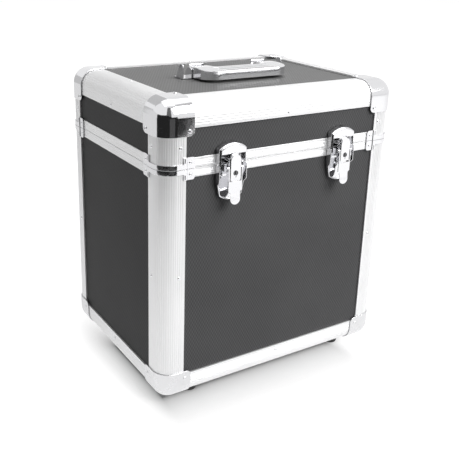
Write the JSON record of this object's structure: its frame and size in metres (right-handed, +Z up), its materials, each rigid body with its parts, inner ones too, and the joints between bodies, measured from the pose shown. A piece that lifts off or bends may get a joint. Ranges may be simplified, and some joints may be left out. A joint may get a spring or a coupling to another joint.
{
  "type": "record carrying case",
  "caption": "Boxy case for 12-inch records: dark panels in aluminium edge bars, a hinged lid with a folding handle, two lever latches with locks, metal corner caps and rubber feet.",
  "frame": {"origin": "on the floor under the feet, at the middle of the closed case's box seen from above", "axes": "+Z up, the latches on the front face towards -Y, +X to the right as seen from the front"},
  "size_m": [0.353, 0.2872, 0.4042],
  "materials": {
    "panel_laminate": "dark grey laminate on board, with a fine woven emboss, matt",
    "edge_aluminium": "satin anodised, finely ribbed along its length",
    "hardware_chrome": "bright chrome plate",
    "cap_satin": "satin plated steel",
    "lock_steel": "dark, worn key slot",
    "foot_rubber": "black, matt"
  },
  "bodies": {
    "base": {"base_front_panel": "panel_laminate", "base_back_panel": "panel_laminate", "base_left_panel": "panel_laminate", "base_right_panel": "panel_laminate", "floor_panel": "panel_laminate", "base_post_front_left": "edge_aluminium", "base_post_front_right": "edge_aluminium", "base_post_back_left": "edge_aluminium", "base_post_back_right": "edge_aluminium", "bottom_edge_frame": "edge_aluminium", "base_rim": "edge_aluminium", "hinge_leaf_base": "edge_aluminium", "base_brace_front_left": "hardware_chrome", "base_brace_front_right": "hardware_chrome", "base_brace_back_left": "hardware_chrome", "base_brace_back_right": "hardware_chrome", "latch_left_base_plate": "hardware_chrome", "latch_right_base_plate": "hardware_chrome", "bottom_cap_front_left": "cap_satin", "bottom_cap_front_right": "cap_satin", "bottom_cap_back_left": "cap_satin", "bottom_cap_back_right": "cap_satin", "foot_front_left": "foot_rubber", "foot_front_right": "foot_rubber", "foot_back_left": "foot_rubber", "foot_back_right": "foot_rubber"},
    "lid": {"lid_front_panel": "panel_laminate", "lid_back_panel": "panel_laminate", "lid_left_panel": "panel_laminate", "lid_right_panel": "panel_laminate", "lid_top_panel": "panel_laminate", "lid_post_front_left": "edge_aluminium", "lid_post_front_right": "edge_aluminium", "lid_post_back_left": "edge_aluminium", "lid_post_back_right": "edge_aluminium", "lid_front_edge_bar": "edge_aluminium", "lid_back_edge_bar": "edge_aluminium", "lid_left_edge_bar": "edge_aluminium", "lid_right_edge_bar": "edge_aluminium", "lid_rim": "edge_aluminium", "hinge_leaf_lid": "edge_aluminium", "top_cap_front_left": "hardware_chrome", "top_cap_front_right": "hardware_chrome", "top_cap_back_left": "hardware_chrome", "top_cap_back_right": "hardware_chrome", "lid_brace_front_left": "hardware_chrome", "lid_brace_front_right": "hardware_chrome", "lid_brace_back_left": "hardware_chrome", "lid_brace_back_right": "hardware_chrome", "handle_bracket_left": "hardware_chrome", "handle_bracket_right": "hardware_chrome", "latch_left_catch_plate": "hardware_chrome", "latch_right_catch_plate": "hardware_chrome"},
    "handle": {"handle_grip": "hardware_chrome"},
    "left_lever": {"latch_left_lever": "hardware_chrome"},
    "left_hook": {"latch_left_hook": "hardware_chrome"},
    "left_lock": {"latch_left_lock_barrel": "lock_steel"},
    "right_lever": {"latch_right_lever": "hardware_chrome"},
    "right_hook": {"latch_right_hook": "hardware_chrome"},
    "right_lock": {"latch_right_lock_barrel": "lock_steel"}
  },
  "joints": [
    {"name": "lid_hinge", "type": "hinge", "parent": "base", "child": "lid", "pos_m": [0, 0.14105, 0.3082], "axis": [-1, 0, 0], "range_deg": [0, 105]},
    {"name": "handle_fold", "type": "hinge", "parent": "lid", "child": "handle", "pos_m": [0, 0.00105, 0.3927], "axis": [-1, 0, 0], "range_deg": [0, 90]},
    {"name": "left_lever_turn", "type": "hinge", "parent": "base", "child": "left_lever", "pos_m": [-0.084, -0.13955, 0.3044], "axis": [-1, 0, 0], "range_deg": [0, 110]},
    {"name": "left_hook_swing", "type": "hinge", "parent": "left_lever", "child": "left_hook", "pos_m": [-0.084, -0.13855, 0.2952], "axis": [-1, 0, 0], "range_deg": [-110, 0]},
    {"name": "left_lock_turn", "type": "hinge", "parent": "left_hook", "child": "left_lock", "pos_m": [-0.084, -0.14245, 0.2987], "axis": [0, -1, 0], "range_deg": [0, 90]},
    {"name": "right_lever_turn", "type": "hinge", "parent": "base", "child": "right_lever", "pos_m": [0.084, -0.13955, 0.3044], "axis": [-1, 0, 0], "range_deg": [0, 110]},
    {"name": "right_hook_swing", "type": "hinge", "parent": "right_lever", "child": "right_hook", "pos_m": [0.084, -0.13855, 0.2952], "axis": [-1, 0, 0], "range_deg": [-110, 0]},
    {"name": "right_lock_turn", "type": "hinge", "parent": "right_hook", "child": "right_lock", "pos_m": [0.084, -0.14245, 0.2987], "axis": [0, -1, 0], "range_deg": [0, 90]}
  ],
  "couplings": [
    {"joint": "left_hook_swing", "follows": "left_lever_turn", "ratio": -1},
    {"joint": "right_hook_swing", "follows": "right_lever_turn", "ratio": -1}
  ]
}
